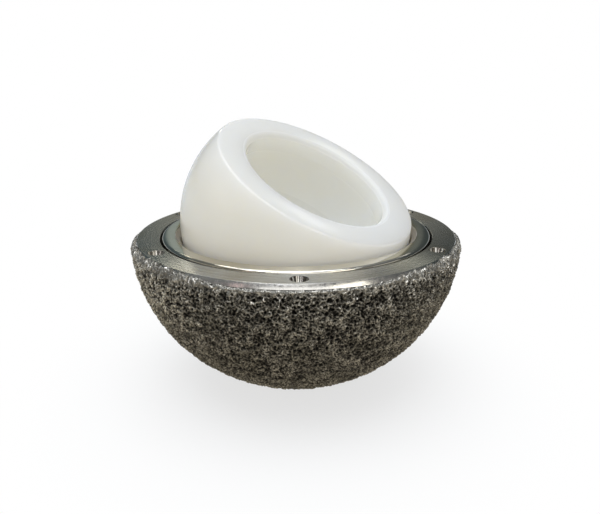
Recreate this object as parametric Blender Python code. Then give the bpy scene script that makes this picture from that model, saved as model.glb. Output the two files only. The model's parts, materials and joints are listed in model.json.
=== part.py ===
"""Modular dual-mobility acetabular cup, standing on its pole with its rim level.

A turned metal shell carries a layer of metal foam outside and a polished liner inside.
A plastic ball with a cut face and a bore for a femoral head sits loose in the liner.
Heights in the dimensions below are counted from the flat rim face of the shell.
The finished model stands on z = 0, with its axis on Z.
"""

import math
import random

import bmesh
import bpy
from mathutils import Euler, Matrix, Vector

MM = 0.001

# Gap between pieces that touch on the real cup
CLEARANCE = 0.30 * MM

# Plastic insert: a ball with a flat face cut across it
INSERT_WALL = 6.9 * MM
BALL_CENTRE_HEIGHT = 2.2 * MM
FACE_CORNER_RADIUS = 0.5 * MM
INSERT_TILT = math.radians(29.8)
INSERT_TILT_DIRECTION = math.radians(-31.6)

# Bore of the insert, for a 28 mm femoral head that snaps past the mouth
HEAD_RADIUS = 14.0 * MM
HEAD_PLAY = 0.1 * MM
HEAD_CENTRE_OFFSET = 1.5 * MM
SNAP_UNDERCUT = 0.75 * MM
MOUTH_DEPTH = 3.5 * MM
MOUTH_FLARE_OUT = 0.25 * MM
MOUTH_FLARE_DEPTH = 1.4 * MM
MOUTH_LIP_RADIUS = 0.4 * MM

# Polished liner
LINER_RIM_WALL = 3.35 * MM
LINER_POLE_WALL = 3.4 * MM
LINER_PROUD = 0.28 * MM
LINER_CORNER_RADIUS = 0.5 * MM
LINER_LIP_OUT = 0.77 * MM
LINER_LIP_DOWN = 0.7 * MM

# Locking taper between liner and shell
TAPER_PLAY = 0.37 * MM
TAPER_POLE_PLAY = 0.4 * MM
TAPER_ANGLE = math.radians(5.0)
TAPER_DEPTH = 8.0 * MM

# Turned outer shell
RIM_FACE_WIDTH = 3.97 * MM
RIM_BEVEL_OUT = 0.45 * MM
RIM_BEVEL_DOWN = 0.85 * MM
BORE_CHAMFER = 0.15 * MM
SHELL_POLE_WALL = 4.35 * MM
POLE_HOLE_RADIUS = 3.5 * MM
POLE_HOLE_CHAMFER = 0.4 * MM
FOOT_RADIUS = 5.4 * MM

# Blind tool dimples in the rim face
DIMPLE_COUNT = 6
DIMPLE_TOP_RADIUS = 1.42 * MM
DIMPLE_FLOOR_RADIUS = 0.95 * MM
DIMPLE_DEPTH = 1.3 * MM
DIMPLE_CUTTER_OVERSHOOT = 0.5 * MM
DIMPLE_TURN = math.radians(1.2)

# Porous metal layer
COATING_THICKNESS = 1.2 * MM
COATING_OVERHANG = 0.86 * MM
COATING_CORNER = 0.35 * MM
FOAM_RELIEF = 0.45 * MM
FOAM_SHALLOWEST = 0.6
FOAM_SEED = 7

# Fineness of the turned faces
TURN_STEPS = 60
DOME_STEPS = 9
BALL_STEPS = 13
SOCKET_STEPS = 10
CORNER_STEPS = 3
DIMPLE_STEPS = 16
FOAM_STEPS = 72
FOAM_ROWS = 20
SHARP_ANGLE = math.radians(25.0)

# Sizes that follow from the ones above
HEAD_BORE_RADIUS = HEAD_RADIUS + HEAD_PLAY
MOUTH_RADIUS = HEAD_BORE_RADIUS - SNAP_UNDERCUT
SNAP_HEIGHT = HEAD_CENTRE_OFFSET + math.sqrt(HEAD_BORE_RADIUS ** 2 - MOUTH_RADIUS ** 2)
FACE_OFFSET = SNAP_HEIGHT + MOUTH_DEPTH
BALL_RADIUS = HEAD_BORE_RADIUS + INSERT_WALL
SOCKET_RADIUS = BALL_RADIUS + CLEARANCE
LINER_RADIUS = BALL_RADIUS + LINER_RIM_WALL
BORE_RADIUS = LINER_RADIUS + TAPER_PLAY
RIM_FACE_RADIUS = BORE_RADIUS + RIM_FACE_WIDTH
RIM_EDGE_RADIUS = RIM_FACE_RADIUS + RIM_BEVEL_OUT
CUP_RADIUS = RIM_EDGE_RADIUS + COATING_OVERHANG
LINER_POLE = BALL_CENTRE_HEIGHT - SOCKET_RADIUS - LINER_POLE_WALL
SHELL_INNER_POLE = LINER_POLE - TAPER_POLE_PLAY
SHELL_OUTER_POLE = SHELL_INNER_POLE - SHELL_POLE_WALL
COATING_INNER_POLE = SHELL_OUTER_POLE - CLEARANCE
CUP_POLE = COATING_INNER_POLE - COATING_THICKNESS
COATING_INNER_RADIUS = CUP_RADIUS - COATING_THICKNESS
SHELL_RADIUS = COATING_INNER_RADIUS - CLEARANCE


def dome_height(radius, dome_radius, pole):
    """Height of a flattened dome below the rim plane, at a distance from its axis."""
    return pole * math.sqrt(1.0 - (radius / dome_radius) ** 2)


def dome_reach(height, dome_radius, pole):
    """Distance of a flattened dome from its axis, at a height below the rim plane."""
    return dome_radius * math.sqrt(1.0 - (height / pole) ** 2)


FOOT_HEIGHT = dome_height(FOOT_RADIUS, CUP_RADIUS, CUP_POLE)


def arc(centre_height, radius, start, end, steps, centre_radius=0.0):
    """Points of a round arc in the (radius, height) plane, by angles from the radius axis."""
    points = []
    for step in range(steps + 1):
        angle = start + (end - start) * step / steps
        reach = centre_radius + radius * math.cos(angle)
        points.append((reach, centre_height + radius * math.sin(angle)))
    return points


def flattened_arc(dome_radius, pole, start_radius, end_height, steps):
    """Points of a flattened dome, from a distance near its pole up to a height near its rim."""
    start = math.acos(start_radius / dome_radius)
    end = math.asin(end_height / pole)
    points = []
    for step in range(steps + 1):
        angle = start + (end - start) * step / steps
        points.append((dome_radius * math.cos(angle), pole * math.sin(angle)))
    return points


def bowl_arc(edge_radius, edge_height, pole_height, inner_radius, steps):
    """Arc of a round bowl floor, from its edge down to inner_radius from the axis."""
    drop = edge_height - pole_height
    radius = (edge_radius ** 2 + drop ** 2) / (2.0 * drop)
    centre_height = pole_height + radius
    start = -math.acos(edge_radius / radius)
    end = -math.acos(inner_radius / radius)
    return arc(centre_height, radius, start, end, steps)


def turn(name, outline, steps=TURN_STEPS):
    """Turn a closed outline of (radius, height) points round Z into one solid."""
    mesh = bpy.data.meshes.new(name)
    solid = bmesh.new()
    corners = [solid.verts.new((radius, 0.0, height)) for radius, height in outline]
    open_at_axis = outline[0][0] == 0.0
    pairs = list(zip(corners, corners[1:]))
    if not open_at_axis:
        pairs.append((corners[-1], corners[0]))
    edges = [solid.edges.new(pair) for pair in pairs]
    bmesh.ops.spin(
        solid,
        geom=corners + edges,
        cent=(0.0, 0.0, 0.0),
        axis=(0.0, 0.0, 1.0),
        dvec=(0.0, 0.0, 0.0),
        angle=2.0 * math.pi,
        steps=steps,
        use_merge=True,
        use_duplicate=False,
    )
    bmesh.ops.remove_doubles(solid, verts=solid.verts, dist=1e-7)
    bmesh.ops.recalc_face_normals(solid, faces=solid.faces)
    solid.to_mesh(mesh)
    solid.free()
    piece = bpy.data.objects.new(name, mesh)
    bpy.context.scene.collection.objects.link(piece)
    return piece


def material(name, color, roughness, metallic, subsurface=0.0):
    """Principled material with the look of one piece."""
    look = bpy.data.materials.new(name)
    look.use_nodes = True
    shader = look.node_tree.nodes["Principled BSDF"]
    shader.inputs["Base Color"].default_value = (*color, 1.0)
    shader.inputs["Roughness"].default_value = roughness
    shader.inputs["Metallic"].default_value = metallic
    shader.inputs["Subsurface Weight"].default_value = subsurface
    look.diffuse_color = (*color, 1.0)
    return look


def finish(piece, look, parent, location=(0.0, 0.0, 0.0), rotation=(0.0, 0.0, 0.0)):
    """Give a piece its material, smooth shading and place."""
    piece.data.materials.append(look)
    piece.data.shade_smooth()
    piece.data.set_sharp_from_angle(angle=SHARP_ANGLE)
    piece.parent = parent
    piece.location = location
    piece.rotation_euler = rotation


def shell_outline():
    """Section of the metal shell, with a flange at the rim and a foot at the pole."""
    flange_underside = -RIM_BEVEL_DOWN
    outer = flattened_arc(
        SHELL_RADIUS, SHELL_OUTER_POLE, FOOT_RADIUS, flange_underside, DOME_STEPS
    )
    foot = [
        (POLE_HOLE_RADIUS, FOOT_HEIGHT + POLE_HOLE_CHAMFER),
        (POLE_HOLE_RADIUS + POLE_HOLE_CHAMFER, FOOT_HEIGHT),
        (FOOT_RADIUS, FOOT_HEIGHT),
    ]
    rim = [
        (RIM_EDGE_RADIUS, flange_underside),
        (RIM_FACE_RADIUS, 0.0),
        (BORE_RADIUS + BORE_CHAMFER, 0.0),
        (BORE_RADIUS, -BORE_CHAMFER),
    ]
    taper_end = BORE_RADIUS - (TAPER_DEPTH - BORE_CHAMFER) * math.tan(TAPER_ANGLE)
    floor = bowl_arc(
        taper_end, -TAPER_DEPTH, SHELL_INNER_POLE, POLE_HOLE_RADIUS, DOME_STEPS
    )
    return foot + outer + rim + floor


def dimple_cutter(parent):
    """Six tapered plugs that cut the blind dimples into the rim face."""
    slope = (DIMPLE_TOP_RADIUS - DIMPLE_FLOOR_RADIUS) / DIMPLE_DEPTH
    circle_radius = BORE_RADIUS + RIM_FACE_WIDTH / 2.0
    middle_height = (DIMPLE_CUTTER_OVERSHOOT - DIMPLE_DEPTH) / 2.0
    mesh = bpy.data.meshes.new("dimple_cutter")
    plugs = bmesh.new()
    for index in range(DIMPLE_COUNT):
        turn_angle = DIMPLE_TURN - math.pi / 2.0 + 2.0 * math.pi * index / DIMPLE_COUNT
        centre = Vector((circle_radius, 0.0, middle_height))
        place = Matrix.Rotation(turn_angle, 4, "Z") @ Matrix.Translation(centre)
        bmesh.ops.create_cone(
            plugs,
            cap_ends=True,
            segments=DIMPLE_STEPS,
            radius1=DIMPLE_FLOOR_RADIUS,
            radius2=DIMPLE_TOP_RADIUS + DIMPLE_CUTTER_OVERSHOOT * slope,
            depth=DIMPLE_DEPTH + DIMPLE_CUTTER_OVERSHOOT,
            matrix=place,
        )
    plugs.to_mesh(mesh)
    plugs.free()
    cutter = bpy.data.objects.new("dimple_cutter", mesh)
    bpy.context.scene.collection.objects.link(cutter)
    cutter.parent = parent
    cutter.hide_render = True
    cutter.display_type = "WIRE"
    return cutter


def build_shell(parent):
    """Machined metal shell with its rim dimples."""
    shell = turn("outer_shell", shell_outline())
    titanium = material("turned_titanium", (0.52, 0.51, 0.48), 0.32, 1.0)
    finish(shell, titanium, parent)
    cut = shell.modifiers.new("rim_dimples", "BOOLEAN")
    cut.operation = "DIFFERENCE"
    cut.solver = "EXACT"
    cut.object = dimple_cutter(parent)


def roughen(coating, start_radius, end_height):
    """Sink every other point of the foam's dome, so that lumps stand between pits."""
    start = math.acos(start_radius / CUP_RADIUS)
    end = math.asin(end_height / CUP_POLE)
    depths = random.Random(FOAM_SEED)
    for corner in coating.data.vertices:
        reach = math.hypot(corner.co.x, corner.co.y)
        on_dome = abs(math.hypot(reach / CUP_RADIUS, corner.co.z / CUP_POLE) - 1.0) < 1e-4
        row = round(FOAM_ROWS * (math.acos(min(reach / CUP_RADIUS, 1.0)) - start) / (end - start))
        step = round(FOAM_STEPS * math.atan2(corner.co.y, corner.co.x) / (2.0 * math.pi))
        if on_dome and (row + step) % 2 == 1:
            # The columns of points crowd towards the pole, so the pits get shallower there
            depth = FOAM_RELIEF * depths.uniform(FOAM_SHALLOWEST, 1.0) * reach / CUP_RADIUS
            slant = corner.co.z * (CUP_RADIUS / CUP_POLE) ** 2
            outward = Vector((corner.co.x, corner.co.y, slant)).normalized()
            corner.co -= depth * outward


def build_coating(parent):
    """Porous layer on the outside of the shell, open at the foot."""
    start_radius = FOOT_RADIUS + CLEARANCE
    top = -RIM_BEVEL_DOWN - CLEARANCE
    inner = flattened_arc(
        COATING_INNER_RADIUS, COATING_INNER_POLE, start_radius, top, DOME_STEPS
    )
    corner_height = top - COATING_CORNER
    outer = flattened_arc(CUP_RADIUS, CUP_POLE, start_radius, corner_height, FOAM_ROWS)
    corner = [(dome_reach(top, CUP_RADIUS, CUP_POLE) - COATING_CORNER, top)]
    coating = turn("porous_coating", outer + corner + inner[::-1], FOAM_STEPS)
    roughen(coating, start_radius, corner_height)
    foam = material("porous_titanium", (0.09, 0.085, 0.075), 0.7, 0.6)
    finish(coating, foam, parent)


def build_liner(parent):
    """Polished liner with a flat lip and a round socket."""
    face = LINER_PROUD
    taper_end = LINER_RADIUS - (TAPER_DEPTH + face) * math.tan(TAPER_ANGLE)
    floor = bowl_arc(taper_end, -TAPER_DEPTH, LINER_POLE, 0.0, DOME_STEPS)
    floor[-1] = (0.0, LINER_POLE)
    corner = arc(
        face - LINER_CORNER_RADIUS,
        LINER_CORNER_RADIUS,
        0.0,
        math.pi / 2.0,
        CORNER_STEPS,
        LINER_RADIUS - LINER_CORNER_RADIUS,
    )
    mouth_drop = BALL_CENTRE_HEIGHT - face
    face_inner_radius = math.sqrt(SOCKET_RADIUS ** 2 - mouth_drop ** 2) + LINER_LIP_OUT
    socket_drop = mouth_drop + LINER_LIP_DOWN
    socket_start = -math.asin(socket_drop / SOCKET_RADIUS)
    socket = arc(
        BALL_CENTRE_HEIGHT, SOCKET_RADIUS, socket_start, -math.pi / 2.0, SOCKET_STEPS
    )
    socket[-1] = (0.0, BALL_CENTRE_HEIGHT - SOCKET_RADIUS)
    outline = floor[::-1] + corner + [(face_inner_radius, face)] + socket
    liner = turn("metal_liner", outline)
    polished = material("polished_cobalt_chrome", (0.62, 0.61, 0.58), 0.08, 1.0)
    finish(liner, polished, parent)


def insert_outline():
    """Section of the plastic insert, about its own axis and ball centre."""
    corner_height = FACE_OFFSET - FACE_CORNER_RADIUS
    corner_reach = BALL_RADIUS - FACE_CORNER_RADIUS
    corner_centre = math.sqrt(corner_reach ** 2 - corner_height ** 2)
    corner_angle = math.asin(corner_height / corner_reach)
    ball = arc(0.0, BALL_RADIUS, -math.pi / 2.0, corner_angle, BALL_STEPS)
    ball[0] = (0.0, -BALL_RADIUS)
    corner = arc(
        corner_height,
        FACE_CORNER_RADIUS,
        corner_angle,
        math.pi / 2.0,
        CORNER_STEPS,
        corner_centre,
    )
    flare_radius = MOUTH_RADIUS + MOUTH_FLARE_OUT
    lip = arc(
        FACE_OFFSET - MOUTH_LIP_RADIUS,
        MOUTH_LIP_RADIUS,
        math.pi / 2.0,
        math.pi,
        CORNER_STEPS,
        flare_radius + MOUTH_LIP_RADIUS,
    )
    flare_end = (MOUTH_RADIUS, FACE_OFFSET - MOUTH_FLARE_DEPTH)
    bore_start = math.acos(MOUTH_RADIUS / HEAD_BORE_RADIUS)
    bore = arc(
        HEAD_CENTRE_OFFSET, HEAD_BORE_RADIUS, bore_start, -math.pi / 2.0, DOME_STEPS
    )
    bore[-1] = (0.0, HEAD_CENTRE_OFFSET - HEAD_BORE_RADIUS)
    return ball + corner[1:] + lip + [flare_end] + bore


def build_insert(parent):
    """White plastic insert, tilted in its socket about the ball centre."""
    insert = turn("polyethylene_insert", insert_outline())
    plastic = material("polyethylene", (0.80, 0.79, 0.74), 0.35, 0.0, 0.3)
    tilt = Euler((0.0, INSERT_TILT, INSERT_TILT_DIRECTION), "XYZ")
    finish(insert, plastic, parent, (0.0, 0.0, BALL_CENTRE_HEIGHT), tilt)


def main():
    for leftover in list(bpy.data.objects):
        bpy.data.objects.remove(leftover, do_unlink=True)
    rim_plane = bpy.data.objects.new("rim_plane", None)
    rim_plane.location = (0.0, 0.0, -FOOT_HEIGHT)
    bpy.context.scene.collection.objects.link(rim_plane)
    build_shell(rim_plane)
    build_coating(rim_plane)
    build_liner(rim_plane)
    build_insert(rim_plane)


main()
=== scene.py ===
# %% [markdown]
# The object is a hip implant part that surgeons call an acetabular cup.
# A turned titanium shell has metal foam outside, for bone to grow into, and a polished liner inside.
# A milky plastic ball with a bore sits loose in the liner and tilts in it.
# The sizes and places come from the loaded frame, so this script only has to make the surfaces.

# %% Load the frame
import json
import math

import bpy
from mathutils import Euler, Matrix, Vector


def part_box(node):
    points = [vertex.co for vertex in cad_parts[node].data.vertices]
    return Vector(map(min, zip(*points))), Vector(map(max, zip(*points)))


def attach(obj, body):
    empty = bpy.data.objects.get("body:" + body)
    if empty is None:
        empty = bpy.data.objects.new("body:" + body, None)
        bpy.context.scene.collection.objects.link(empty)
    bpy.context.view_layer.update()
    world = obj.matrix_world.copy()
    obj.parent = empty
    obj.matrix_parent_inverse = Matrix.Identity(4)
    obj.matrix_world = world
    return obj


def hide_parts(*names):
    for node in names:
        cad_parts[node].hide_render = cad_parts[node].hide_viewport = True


MM = 0.001
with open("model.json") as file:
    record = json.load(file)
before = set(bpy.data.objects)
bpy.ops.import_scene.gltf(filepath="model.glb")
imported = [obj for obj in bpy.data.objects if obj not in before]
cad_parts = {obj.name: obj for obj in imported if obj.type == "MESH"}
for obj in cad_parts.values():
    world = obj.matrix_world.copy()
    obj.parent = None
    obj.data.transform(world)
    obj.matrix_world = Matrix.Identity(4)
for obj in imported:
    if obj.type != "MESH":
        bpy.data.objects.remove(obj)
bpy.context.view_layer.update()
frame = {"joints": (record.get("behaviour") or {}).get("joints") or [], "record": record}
shell_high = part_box("outer_shell")[1]
coating_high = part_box("porous_coating")[1]
liner_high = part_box("metal_liner")[1]
mounts = {mount["name"]: mount for mount in frame["record"]["mounts"]}
rim_height = shell_high.z
ball_centre = Vector(frame["joints"][0]["pos_m"])
insert_axis = Vector(mounts["insert_face"]["axis"]).normalized()
face_offset = (Vector(mounts["insert_face"]["pos_m"]) - ball_centre).dot(insert_axis)
print("rim face at", round(rim_height / MM, 3), "mm, ball centre at", round(ball_centre.z / MM, 3), "mm")

# %% [markdown]
# The camera comes first, because every later choice is judged through it.
# It stands close to the object, so the near part of the rim looks much wider than the far part.
# Its place was worked out from the ellipses of the rim, the gap and the liner in the photograph.

# %% Camera
PHOTO_WIDTH = 600
FOCAL_PIXELS = 605.7
SENSOR_WIDTH = 36.0
CAMERA_PLACE = Vector((0.70, -108.56, 57.85)) * MM
CAMERA_DOWN = math.radians(17.79)
CAMERA_ROLL = math.radians(-0.25)

camera_data = bpy.data.cameras.new("camera")
camera_data.sensor_width = SENSOR_WIDTH
camera_data.lens = SENSOR_WIDTH * FOCAL_PIXELS / PHOTO_WIDTH
camera_data.clip_start = 1.0 * MM
camera = bpy.data.objects.new("camera", camera_data)
bpy.context.scene.collection.objects.link(camera)
look = Matrix.Rotation(math.pi / 2.0 - CAMERA_DOWN, 4, "X") @ Matrix.Rotation(CAMERA_ROLL, 4, "Z")
camera.matrix_world = Matrix.Translation(CAMERA_PLACE) @ look
bpy.context.scene.camera = camera
bpy.context.scene.view_settings.view_transform = "Standard"
print("lens", round(camera_data.lens, 2), "mm")


# %% [markdown]
# Many node trees follow, so small helpers add nodes, set their menus and fill their inputs.
# An input is given by its name, or by its number where Blender has two of the same name.
# Most of them give an output socket, so the steps of a pattern can be written like arithmetic.

# %% Helpers for node trees
def fill(tree, node, inputs):
    """Give each input a value or a link from another output. A colour is three numbers, without its alpha."""
    for name, value in inputs.items():
        socket = node.inputs[name]
        if isinstance(value, bpy.types.NodeSocket):
            tree.links.new(value, socket)
        else:
            socket.default_value = (*value, 1.0) if socket.type == "RGBA" else value


def put(tree, kind, inputs=None, **choices):
    """Add a node, set its menus and fill its inputs."""
    node = tree.nodes.new(kind)
    for name, choice in choices.items():
        setattr(node, name, choice)
    fill(tree, node, inputs or {})
    return node


def calculate(tree, operation, first, second=0.0, third=0.0):
    """One step of arithmetic on numbers."""
    return put(tree, "ShaderNodeMath", {0: first, 1: second, 2: third}, operation=operation).outputs[0]


def product(tree, *factors):
    """Multiply numbers, one after another."""
    result = factors[0]
    for factor in factors[1:]:
        result = calculate(tree, "MULTIPLY", result, factor)
    return result


def vector_step(tree, operation, first, second=(0.0, 0.0, 0.0), scale=1.0):
    """One step of arithmetic on vectors."""
    node = put(tree, "ShaderNodeVectorMath", operation=operation)
    inputs = {0: first, "Scale": scale} if operation == "SCALE" else {0: first, 1: second}
    fill(tree, node, inputs)
    return node.outputs["Vector"]


def length(tree, vector):
    """Length of a vector."""
    return put(tree, "ShaderNodeVectorMath", {0: vector}, operation="LENGTH").outputs["Value"]


def ramp(tree, value, low, high, to_low=0.0, to_high=1.0, smooth=True):
    """Remap a value from one range to another, held at both ends."""
    inputs = {"Value": value, "From Min": low, "From Max": high, "To Min": to_low, "To Max": to_high}
    interpolation = "SMOOTHSTEP" if smooth else "LINEAR"
    return put(tree, "ShaderNodeMapRange", inputs, interpolation_type=interpolation).outputs["Result"]


def blend_color(tree, factor, first, second):
    """Mix two colours."""
    return put(tree, "ShaderNodeMix", {0: factor, 6: first, 7: second}, data_type="RGBA").outputs[2]


def object_place(tree):
    """The point on the piece in its own metres, which are the frame's metres too."""
    return put(tree, "ShaderNodeTexCoord").outputs["Object"]


def bare_material(name):
    """A material with no nodes yet, and its tree."""
    made = bpy.data.materials.new(name)
    made.use_nodes = True
    made.node_tree.nodes.clear()
    return made, made.node_tree


# %% [markdown]
# The stage is a white floor under a white sky, as in a packshot.
# The floor is a real white surface close to the object, so it takes the soft shadow under the foam.
# Further out it turns into plain white for the camera and for reflections, so no horizon shows.

# %% Floor
FLOOR_HALF = 3.0
FLOOR_DROP = 0.02 * MM
FLOOR_COLOR = (0.98, 0.98, 0.98)
SHADOW_REACH = (14.0 * MM, 56.0 * MM)
SHADOW_STRENGTH = 0.30
WARM_BOUNCE = (0.74, 0.66, 0.47)
WHITE = (1.0, 1.0, 1.0)

bpy.ops.object.select_all(action="DESELECT")
bpy.ops.mesh.primitive_plane_add(size=2.0 * FLOOR_HALF, location=(0.0, 0.0, -FLOOR_DROP))
floor = bpy.context.object
floor.name = "floor"


def seen_as_background(tree):
    """1 for the rays that may see the background: camera, glossy and transmission rays."""
    path = put(tree, "ShaderNodeLightPath")
    seen = calculate(tree, "MAXIMUM", path.outputs["Is Camera Ray"], path.outputs["Is Glossy Ray"])
    return calculate(tree, "MAXIMUM", seen, path.outputs["Is Transmission Ray"])


paper, tree = bare_material("white_floor")
far = ramp(tree, length(tree, object_place(tree)), *SHADOW_REACH, 1.0 - SHADOW_STRENGTH, 1.0)
white_part = product(tree, far, seen_as_background(tree))
seen_by_camera = put(tree, "ShaderNodeLightPath").outputs["Is Camera Ray"]
floor_color = blend_color(tree, seen_by_camera, WARM_BOUNCE, FLOOR_COLOR)
matte = put(tree, "ShaderNodeBsdfDiffuse", {"Color": floor_color}).outputs[0]
glow = put(tree, "ShaderNodeEmission", {"Strength": 1.0}).outputs[0]
both = put(tree, "ShaderNodeMixShader", {0: white_part, 1: matte, 2: glow}).outputs[0]
put(tree, "ShaderNodeOutputMaterial", {"Surface": both})
floor.data.materials.append(paper)
print("floor", 2 * FLOOR_HALF, "m across")

# %% Sky
SKY_LIGHT = 0.50
SKY_RISE = 0.45
HORIZON_COLOR = (1.03, 0.72, 0.36)
ZENITH_COLOR = (0.94, 1.01, 1.08)

world = bpy.data.worlds.new("white_sky")
bpy.context.scene.world = world
world.use_nodes = True
tree = world.node_tree
tree.nodes.clear()
strength = ramp(tree, seen_as_background(tree), 0.0, 1.0, SKY_LIGHT, 1.0, smooth=False)
ray = put(tree, "ShaderNodeTexCoord").outputs["Generated"]
rise = put(tree, "ShaderNodeSeparateXYZ", {0: ray}).outputs["Z"]
light_color = blend_color(tree, ramp(tree, rise, 0.0, SKY_RISE), HORIZON_COLOR, ZENITH_COLOR)
sky_color = blend_color(tree, seen_as_background(tree), light_color, WHITE)
sky = put(tree, "ShaderNodeBackground", {"Color": sky_color, "Strength": strength}).outputs[0]
put(tree, "ShaderNodeOutputWorld", {"Surface": sky})
print("sky lights with", SKY_LIGHT, "of what the camera sees")


# %% [markdown]
# Polished metal shows what stands round it, so a dim room is built for its reflections alone.
# The flat rim mirrors the low part of the back wall. Steps of light and dark in that wall, by their direction
# from the middle, become the fan of bright and dark sectors that turned metal has.
# Light that the metal throws on the ball is kept bright and warm, so the white plastic stays white low down.

# %% Room
ROOM_RADIUS = 1.6
ROOM_FLOOR_ANGLE = 0.5
BLOTS_PER_METRE = 1.3
BACK_LEFT = (0.37, 0.345, 0.265)
BACK_RIGHT = (0.37, 0.355, 0.295)
BACK_MIDDLE = (0.90, 0.87, 0.76)
SIDE_STEPS = (
    (-0.216, -0.221, (0.15, 0.14, 0.07)),
    (-0.224, -0.229, (0.29, 0.33, 0.31)),
    (-0.252, -0.275, (0.062, 0.088, 0.095)),
    (0.160, 0.178, (0.66, 0.645, 0.54)),
    (0.203, 0.208, (0.12, 0.11, 0.05)),
    (0.211, 0.216, (0.155, 0.168, 0.150)),
    (0.230, 0.250, (0.045, 0.056, 0.055)),
)
FRONT_WALL = (0.20, 0.185, 0.17)
CEILING = (0.34, 0.35, 0.35)
BLOTS = (0.05, 0.055, 0.06)
WALL_FOOT = (0.46, 0.50, 0.54)
BALL_BOUNCE = (0.95, 0.88, 0.72)


def noise(tree, vector, size, detail):
    """Noise with features of about one size; its "Fac" is a number and its "Color" a vector."""
    return put(tree, "ShaderNodeTexNoise", {"Vector": vector, "Scale": 1.0 / size, "Detail": detail}).outputs


def glow_in(tree, color, strength=1.0):
    """Make a surface glow."""
    glow = put(tree, "ShaderNodeEmission", {"Color": color, "Strength": strength}).outputs[0]
    put(tree, "ShaderNodeOutputMaterial", {"Surface": glow})


def stage_for_reflections(surface, look):
    """Give a surface its look, and hide it from every ray but reflections."""
    surface.data.materials.append(look)
    for ray_kind in ("camera", "diffuse", "shadow", "transmission"):
        setattr(surface, "visible_" + ray_kind, False)


bpy.ops.object.select_all(action="DESELECT")
bpy.ops.mesh.primitive_uv_sphere_add(segments=64, ring_count=32, radius=ROOM_RADIUS)
room = bpy.context.object
room.name = "dim_room"
bpy.ops.object.mode_set(mode="EDIT")
bpy.ops.mesh.select_all(action="SELECT")
cut_height = ROOM_RADIUS * math.sin(math.radians(ROOM_FLOOR_ANGLE))
bpy.ops.mesh.bisect(plane_co=(0.0, 0.0, cut_height), plane_no=(0.0, 0.0, 1.0), clear_inner=True)
bpy.ops.object.mode_set(mode="OBJECT")

room_look, tree = bare_material("dim_room")
place = object_place(tree)
parts = put(tree, "ShaderNodeSeparateXYZ", {0: place}).outputs
sideways = calculate(tree, "DIVIDE", parts["X"], calculate(tree, "MAXIMUM", parts["Y"], 0.01))
back = blend_color(tree, ramp(tree, sideways, -0.03, 0.03), BACK_LEFT, BACK_RIGHT)
off_middle = calculate(tree, "ABSOLUTE", calculate(tree, "SUBTRACT", sideways, 0.01))
back = blend_color(tree, ramp(tree, off_middle, 0.12, 0.0), back, BACK_MIDDLE)
for step_start, step_end, step_color in SIDE_STEPS:
    back = blend_color(tree, ramp(tree, sideways, step_start, step_end), back, step_color)
wall = blend_color(tree, ramp(tree, parts["Y"], 0.5, -0.9), back, FRONT_WALL)
wall = blend_color(tree, ramp(tree, parts["Z"], 0.6, 1.5), wall, CEILING)
blots = noise(tree, place, 1.0 / BLOTS_PER_METRE, 2.0)["Fac"]
wall = blend_color(tree, ramp(tree, blots, 0.35, 0.65, 0.6, 0.0), wall, BLOTS)
wall = blend_color(tree, ramp(tree, parts["Z"], 0.20, 0.12), wall, WALL_FOOT)
on_ball = ramp(tree, put(tree, "ShaderNodeLightPath").outputs["Diffuse Depth"], 0.0, 1.0)
glow_in(tree, blend_color(tree, on_ball, wall, BALL_BOUNCE))
stage_for_reflections(room, room_look)
print("room", 2 * ROOM_RADIUS, "m across, with", len(SIDE_STEPS), "steps in its back wall")

# %% [markdown]
# Reflections of the white floor would wash out the edges of the metal, so a darker flag lies on it for them.
# Small glowing cards stand nearer, as a photographer's reflectors do.
# Each one draws a white line or patch on an edge that turns towards it.

# %% Flag and cards
FLAG_RADIUS = 1.5
FLAG_DROP = 0.01 * MM
FLAG_NEAR = (0.60, 0.55, 0.47)
FLAG_FAR = (0.56, 0.64, 0.74)
FLAG_CHANGE = (0.08, 0.30)
CARD_DISTANCE = 0.50
CARDS = {
    "front_box": (2.0, 36.0, 0.42, 0.14, (1.0, 0.99, 0.97), 1.45),
    "front_left_box": (-42.0, 35.0, 0.050, 0.12, (1.0, 0.78, 0.76), 0.95),
    "front_right_box": (39.5, 35.0, 0.17, 0.14, (1.0, 0.95, 0.84), 2.5),
    "left_box": (-80.0, 18.0, 0.30, 0.10, (1.0, 0.98, 0.92), 0.6),
    "right_box": (78.0, 18.0, 0.24, 0.10, (1.0, 0.98, 0.92), 0.6),
    "high_left_strip": (-45.0, 62.0, 0.20, 0.04, (0.97, 0.99, 1.0), 8.0),
    "high_front_strip": (-42.0, 66.0, 0.60, 0.12, (1.0, 0.99, 0.95), 1.3),
    "high_back_strip": (-140.0, 55.0, 0.08, 0.06, (0.97, 0.99, 1.0), 8.0),
    "high_right_strip": (70.0, 53.0, 0.06, 0.03, (0.97, 0.99, 1.0), 3.5),
    "back_right_box": (151.0, 33.5, 0.06, 0.035, (1.0, 0.99, 0.96), 2.2),
    "fan_left_box": (-162.0, 27.5, 0.05, 0.05, (1.0, 0.96, 0.80), 5.0),
}


def card(name, azimuth, elevation, width, height, color, strength):
    """A glowing rectangle that faces the rim's centre; azimuth 0 is on the camera's side, 90 on the right."""
    turned = math.radians(azimuth)
    raised = math.radians(elevation)
    level = math.cos(raised)
    outward = Vector((math.sin(turned) * level, -math.cos(turned) * level, math.sin(raised)))
    bpy.ops.object.select_all(action="DESELECT")
    bpy.ops.mesh.primitive_plane_add(size=1.0)
    panel = bpy.context.object
    panel.name = name
    panel.scale = (width, height, 1.0)
    panel.rotation_euler = outward.to_track_quat("Z", "Y").to_euler()
    panel.location = Vector((0.0, 0.0, rim_height)) + outward * CARD_DISTANCE
    look, tree = bare_material(name)
    glow_in(tree, color, strength)
    stage_for_reflections(panel, look)


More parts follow.
